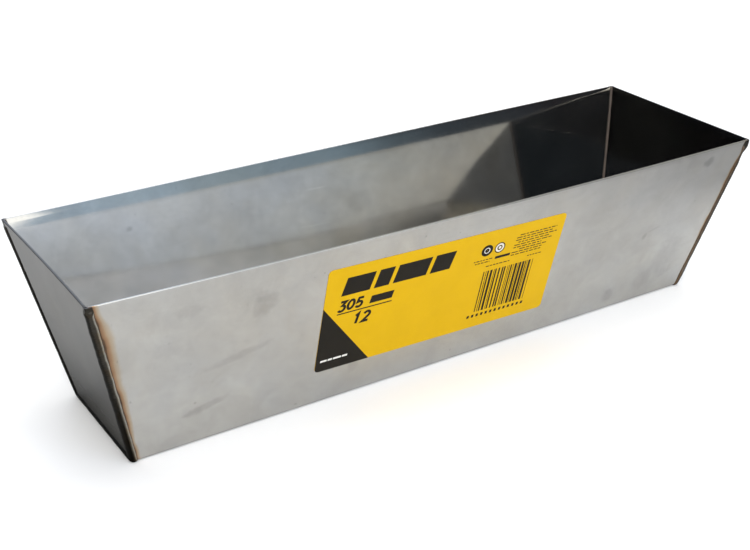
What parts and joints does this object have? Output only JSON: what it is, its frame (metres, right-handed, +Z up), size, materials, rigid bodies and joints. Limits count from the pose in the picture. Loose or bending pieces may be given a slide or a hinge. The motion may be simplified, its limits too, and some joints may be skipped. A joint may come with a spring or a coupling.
{
  "type": "mud pan",
  "caption": "Long open trough with sloping walls that holds drywall compound in one hand: folded stainless sheet with welded end plates.",
  "frame": {"origin": "middle of the underside of the floor, on the bench", "axes": "+X along the pan towards the right end, -Y out of the labelled front wall, +Z up to the open rim"},
  "size_m": [0.341, 0.1, 0.083],
  "materials": {
    "stainless_sheet": "mill-rolled stainless, soft sheen, light handling marks",
    "end_sheet": "mill-rolled stainless, soft sheen",
    "weld_metal": "rippled fusion weld with straw and brown heat tint",
    "label_vinyl": "printed vinyl, satin"
  },
  "bodies": {
    "root": {"trough": "stainless_sheet", "left_end_plate": "end_sheet", "right_end_plate": "end_sheet", "weld_front_left": "weld_metal", "weld_bottom_left": "weld_metal", "weld_back_left": "weld_metal", "weld_front_right": "weld_metal", "weld_bottom_right": "weld_metal", "weld_back_right": "weld_metal", "label": "label_vinyl"}
  },
  "joints": []
}
